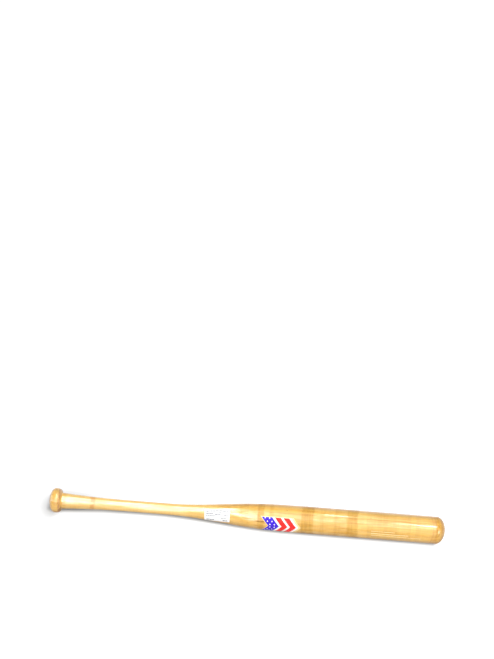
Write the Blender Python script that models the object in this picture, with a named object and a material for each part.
"""A wooden bat turned from a laminated bamboo billet, lying on its barrel.

The billet is a stack of flat strips laid like bricks, with a glue line between neighbours. One
lathe profile, revolved, cuts every strip. A strip close to the axis runs from knob to tip. One
further out is turned away at the thin handle, so what is left of it is a piece in the barrel and a
piece in the knob, and both run out to feather edges. A paper label is wrapped round the taper, and
a printed decal lies on the barrel.

Units are metres. The bat's axis is along X with the knob at -X, and the barrel rests on Z = 0.
"""

import math

import bmesh
import bpy
from mathutils import Vector

# The turned outline. Stations are distances from the knob's end face, along the axis.
LENGTH = 0.8382
BARREL_DIAMETER = 0.05715
HANDLE_DIAMETER = 0.0239
TIP_ROUNDING = 0.019
TIP_FLAT_DIAMETER = 0.008

KNOB_DIAMETER = 0.0518
KNOB_FACE_DIAMETER = 0.014
KNOB_NOSE_LENGTH = 0.0125
KNOB_LAND_LENGTH = 0.004
KNOB_BACK_LENGTH = 0.0095
KNOB_FILLET = 0.002

NECK_DIAMETER = 0.0336
FLARE_LENGTH = 0.134
TAPER_START = 0.234
TAPER_LENGTH = 0.264
SHOULDER_OVERLAP = 0.118
SHOULDER_LENGTH = 0.200
SHOULDER_RISE = 0.0013

# The bamboo strips that the billet is glued up from. The grain face is the flat side of layer 1.
STRIP_WIDTH = 0.029
STRIP_THICKNESS = 0.005
GLUE_LINE = 0.0003
LEAST_CHIP = 0.0006
GRAIN_FACE_ELEVATION = math.radians(50)

# The paper label on the taper, and the decal where the taper runs into the barrel. The label's
# place is measured from the taper's start and the decal's back from its end. Their angles are
# measured round the axis from the middle of the grain face, positive downwards.
FILM_GAP = 0.0003
LABEL_LENGTH = 0.054
LABEL_WIDTH = 0.029
LABEL_THICKNESS = 0.0002
LABEL_UP_TAPER = 0.098
LABEL_TOP_ANGLE = math.radians(-28)
DECAL_LENGTH = 0.070
DECAL_POINT = 0.016
DECAL_WIDTH = 0.042
DECAL_THICKNESS = 0.00015
DECAL_LEAD = 0.046
DECAL_TOP_ANGLE = math.radians(-8)

# How finely round surfaces are faceted.
SIDES = 48
KNOB_NOSE_STEPS = 5
KNOB_BACK_STEPS = 4
FILLET_STEPS = 2
FLARE_STEPS = 5
TAPER_STEPS = 12
SHOULDER_STEPS = 2
TIP_STEPS = 7
FILM_STEPS_ALONG = 8
FILM_STEPS_ROUND = 12
SHARP_ANGLE = math.radians(40)

BARREL_RADIUS = BARREL_DIAMETER / 2
HANDLE_RADIUS = HANDLE_DIAMETER / 2
KNOB_RADIUS = KNOB_DIAMETER / 2
NECK_RADIUS = NECK_DIAMETER / 2
FLAT_RADIUS = BARREL_RADIUS * math.cos(math.pi / SIDES)
TAPER_END = TAPER_START + TAPER_LENGTH
SHOULDER_START = TAPER_END - SHOULDER_OVERLAP
SHOULDER_END = SHOULDER_START + SHOULDER_LENGTH

BAMBOO_TONES = ((0.82, 0.58, 0.29), (0.77, 0.52, 0.24), (0.85, 0.62, 0.33))
PAPER = (0.93, 0.93, 0.92)
DECAL_BLUE = (0.10, 0.05, 0.62)
LACQUER_ROUGHNESS = 0.25
PAPER_ROUGHNESS = 0.55


def ease(t):
    """Rises from 0 to 1 with no slope or bend at either end."""
    t = min(max(t, 0.0), 1.0)
    return t ** 3 * (6 * t * t - 15 * t + 10)


def neck_station():
    """Where the knob's back fillet meets the flared end of the handle."""
    nose = KNOB_NOSE_LENGTH * math.sqrt(1 - (KNOB_FACE_DIAMETER / KNOB_DIAMETER) ** 2)
    return nose + KNOB_LAND_LENGTH + KNOB_BACK_LENGTH + KNOB_FILLET


def shaft_radius(station):
    """The turned radius anywhere between the neck and the tip's rounding."""
    left_of_flare = max(0.0, 1 - (station - neck_station()) / FLARE_LENGTH)
    taper_rise = BARREL_RADIUS - SHOULDER_RISE - HANDLE_RADIUS
    return (HANDLE_RADIUS
            + (NECK_RADIUS - HANDLE_RADIUS) * left_of_flare ** 2
            + taper_rise * ease((station - TAPER_START) / TAPER_LENGTH)
            + SHOULDER_RISE * ease((station - SHOULDER_START) / SHOULDER_LENGTH))


def knob_outline():
    """Station and radius from the end face over the round nose, the land and the back to the neck."""
    first = math.asin(KNOB_FACE_DIAMETER / KNOB_DIAMETER)
    nose_centre = KNOB_NOSE_LENGTH * math.cos(first)
    points = [(0.0, 0.0)]
    for step in range(KNOB_NOSE_STEPS + 1):
        angle = first + (math.pi / 2 - first) * step / KNOB_NOSE_STEPS
        points.append((nose_centre - KNOB_NOSE_LENGTH * math.cos(angle),
                       KNOB_RADIUS * math.sin(angle)))
    back_start = nose_centre + KNOB_LAND_LENGTH
    back_foot = NECK_RADIUS + KNOB_FILLET
    for step in range(KNOB_BACK_STEPS + 1):
        angle = math.pi / 2 * step / KNOB_BACK_STEPS
        points.append((back_start + KNOB_BACK_LENGTH * math.sin(angle),
                       back_foot + (KNOB_RADIUS - back_foot) * math.cos(angle)))
    fillet_centre = back_start + KNOB_BACK_LENGTH + KNOB_FILLET
    for step in range(1, FILLET_STEPS + 1):
        angle = math.pi / 2 * step / FILLET_STEPS
        points.append((fillet_centre - KNOB_FILLET * math.cos(angle),
                       back_foot - KNOB_FILLET * math.sin(angle)))
    return points


def shaft_stations():
    """Where the shaft's outline gets a point: often where it curves, seldom where it is straight."""
    flare = [neck_station() + FLARE_LENGTH * step / FLARE_STEPS for step in range(1, FLARE_STEPS + 1)]
    taper = [TAPER_START + TAPER_LENGTH * step / TAPER_STEPS for step in range(TAPER_STEPS + 1)]
    beyond = SHOULDER_END - TAPER_END
    shoulder = [TAPER_END + beyond * step / SHOULDER_STEPS for step in range(1, SHOULDER_STEPS + 1)]
    return flare + taper + shoulder


def tip_outline():
    """The half ellipse that rounds off the barrel, cut by a small flat where the blank is parted off."""
    last = math.acos(TIP_FLAT_DIAMETER / BARREL_DIAMETER)
    start = LENGTH - TIP_ROUNDING * math.sin(last)
    points = []
    for step in range(TIP_STEPS + 1):
        angle = last * step / TIP_STEPS
        points.append((start + TIP_ROUNDING * math.sin(angle), BARREL_RADIUS * math.cos(angle)))
    return points + [(LENGTH, 0.0)]


def turned_outline():
    shaft = [(station, shaft_radius(station)) for station in shaft_stations()]
    return knob_outline() + shaft + tip_outline()


def make_empty(name, location, roll=0.0, parent=None):
    empty = bpy.data.objects.new(name, None)
    empty.location = location
    empty.rotation_euler = (roll, 0, 0)
    empty.parent = parent
    bpy.context.scene.collection.objects.link(empty)
    return empty


def make_object(name, bm, parent):
    mesh = bpy.data.meshes.new(name)
    bm.to_mesh(mesh)
    bm.free()
    made = bpy.data.objects.new(name, mesh)
    made.parent = parent
    bpy.context.scene.collection.objects.link(made)
    return made


def make_material(name, colour, roughness):
    material = bpy.data.materials.new(name)
    material.use_nodes = True
    shader = material.node_tree.nodes["Principled BSDF"]
    shader.inputs["Base Color"].default_value = (*colour, 1.0)
    shader.inputs["Roughness"].default_value = roughness
    shader.inputs["Metallic"].default_value = 0.0
    return material


def turned_blank(parent):
    """The outline spun round X into one closed surface, used as the tool that cuts the strips.

    It starts half a facet off the vertical, so that a flat of the barrel lies on the ground."""
    bm = bmesh.new()
    half_facet = math.pi / SIDES
    points = [bm.verts.new((station, radius * math.sin(half_facet), radius * math.cos(half_facet)))
              for station, radius in turned_outline()]
    edges = [bm.edges.new(pair) for pair in zip(points, points[1:])]
    bmesh.ops.spin(bm, geom=points + edges, cent=(0, 0, 0), axis=(1, 0, 0),
                   angle=2 * math.pi, steps=SIDES, use_merge=True)
    bmesh.ops.remove_doubles(bm, verts=bm.verts[:], dist=1e-6)
    bmesh.ops.recalc_face_normals(bm, faces=bm.faces[:])
    blank = make_object("turned_blank", bm, parent)
    blank.data.shade_smooth()
    blank.data.set_sharp_from_angle(angle=SHARP_ANGLE)
    blank.hide_render = True
    blank.display_type = "WIRE"
    return blank


def distance_from_zero(low, high):
    return max(low, -high, 0.0)


def distance_off_axis(across, through):
    """How far from the axis the nearest point of a strip's cross-section is."""
    return math.hypot(distance_from_zero(*across), distance_from_zero(*through))


def brickwork():
    """The strips of the billet that the barrel reaches, as (layer, letter, across, through).

    They are laid like bricks. Every second layer is shifted by half a strip, and the middle layer
    has a strip centred on the axis. Layers count down from the grain face. Across and through are
    a strip's lowest and highest distance from the axis, sideways and upwards."""
    pitch_across = STRIP_WIDTH + GLUE_LINE
    pitch_through = STRIP_THICKNESS + GLUE_LINE
    half_layers = math.ceil(BARREL_RADIUS / pitch_through - 0.5)
    half_strips = math.ceil(BARREL_RADIUS / pitch_across)
    strips = []
    for level in range(half_layers, -half_layers - 1, -1):
        letters = iter("abcdefgh")
        height = level * pitch_through
        through = (height - STRIP_THICKNESS / 2, height + STRIP_THICKNESS / 2)
        for place in range(-half_strips, half_strips + 1):
            centre = (place + 0.5 * (level % 2)) * pitch_across
            across = (centre - STRIP_WIDTH / 2, centre + STRIP_WIDTH / 2)
            if distance_off_axis(across, through) < BARREL_RADIUS - LEAST_CHIP:
                strips.append((half_layers - level + 1, next(letters), across, through))
    return strips


def cut_strip(name, stations, across, through, blank, parent, material):
    """One strip of stock, as a box, and then only what the lathe leaves of it."""
    low = Vector((stations[0], across[0], through[0]))
    high = Vector((stations[1], across[1], through[1]))
    bm = bmesh.new()
    bmesh.ops.create_cube(bm, size=1.0)
    bmesh.ops.scale(bm, vec=high - low, verts=bm.verts[:])
    strip = make_object(name, bm, parent)
    strip.location = (low + high) / 2
    strip.data.materials.append(material)
    turning = strip.modifiers.new("turning", "BOOLEAN")
    turning.operation = "INTERSECT"
    turning.object = blank
    return strip


def make_strips(blank, parent):
    """Every piece that the lathe leaves of every strip. A strip that lies outside the handle is
    turned away there, and is left as one piece in the barrel and one in the knob."""
    billet_start = -GLUE_LINE
    billet_end = LENGTH + GLUE_LINE
    mid_handle = (neck_station() + FLARE_LENGTH + TAPER_START) / 2
    for layer, letter, across, through in brickwork():
        tone = BAMBOO_TONES[layer % len(BAMBOO_TONES)]
        material = make_material(f"bamboo_{layer}{letter}", tone, LACQUER_ROUGHNESS)
        off_axis = distance_off_axis(across, through)
        if off_axis < HANDLE_RADIUS:
            pieces = [("core_strip", (billet_start, billet_end))]
        else:
            pieces = [("barrel_strip", (mid_handle, billet_end))]
            if off_axis < KNOB_RADIUS - LEAST_CHIP:
                pieces.append(("knob_strip", (billet_start, mid_handle)))
        for prefix, stations in pieces:
            cut_strip(f"{prefix}_{layer}{letter}", stations, across, through, blank, parent, material)


def make_film(name, start, length, width, top_angle, point, thickness, parent, material):
    """A thin film wrapped on the turned surface. It keeps its width round the wood, however thick
    the wood is there. With a point, its ends are chevrons instead of square."""
    bm = bmesh.new()
    bmesh.ops.create_grid(bm, x_segments=FILM_STEPS_ALONG, y_segments=FILM_STEPS_ROUND, size=0.5)
    for vertex in bm.verts:
        along, down = vertex.co.x + 0.5, 0.5 - vertex.co.y
        station = start + along * length + point * (1 - abs(2 * down - 1))
        wood = shaft_radius(station)
        angle = top_angle + down * width / wood
        reach = wood + FILM_GAP
        vertex.co = (station, -reach * math.sin(angle), reach * math.cos(angle))
    film = make_object(name, bm, parent)
    film.data.shade_smooth()
    film.data.set_sharp_from_angle(angle=SHARP_ANGLE)
    film.data.materials.append(material)
    solid = film.modifiers.new("thickness", "SOLIDIFY")
    solid.thickness = thickness
    solid.offset = 1.0
    return film


def main():
    for existing in list(bpy.data.objects):
        bpy.data.objects.remove(existing, do_unlink=True)
    bat_axis = make_empty("bat_axis", (-LENGTH / 2, 0, FLAT_RADIUS))
    grain_frame = make_empty("grain_frame", (0, 0, 0), math.pi / 2 - GRAIN_FACE_ELEVATION, bat_axis)
    blank = turned_blank(bat_axis)
    make_strips(blank, grain_frame)
    paper = make_material("label_paper", PAPER, PAPER_ROUGHNESS)
    make_film("paper_label", TAPER_START + LABEL_UP_TAPER, LABEL_LENGTH, LABEL_WIDTH, LABEL_TOP_ANGLE,
              0.0, LABEL_THICKNESS, grain_frame, paper)
    ink = make_material("decal_film", DECAL_BLUE, LACQUER_ROUGHNESS)
    make_film("barrel_decal", TAPER_END - DECAL_LEAD, DECAL_LENGTH, DECAL_WIDTH, DECAL_TOP_ANGLE,
              DECAL_POINT, DECAL_THICKNESS, grain_frame, ink)


main()
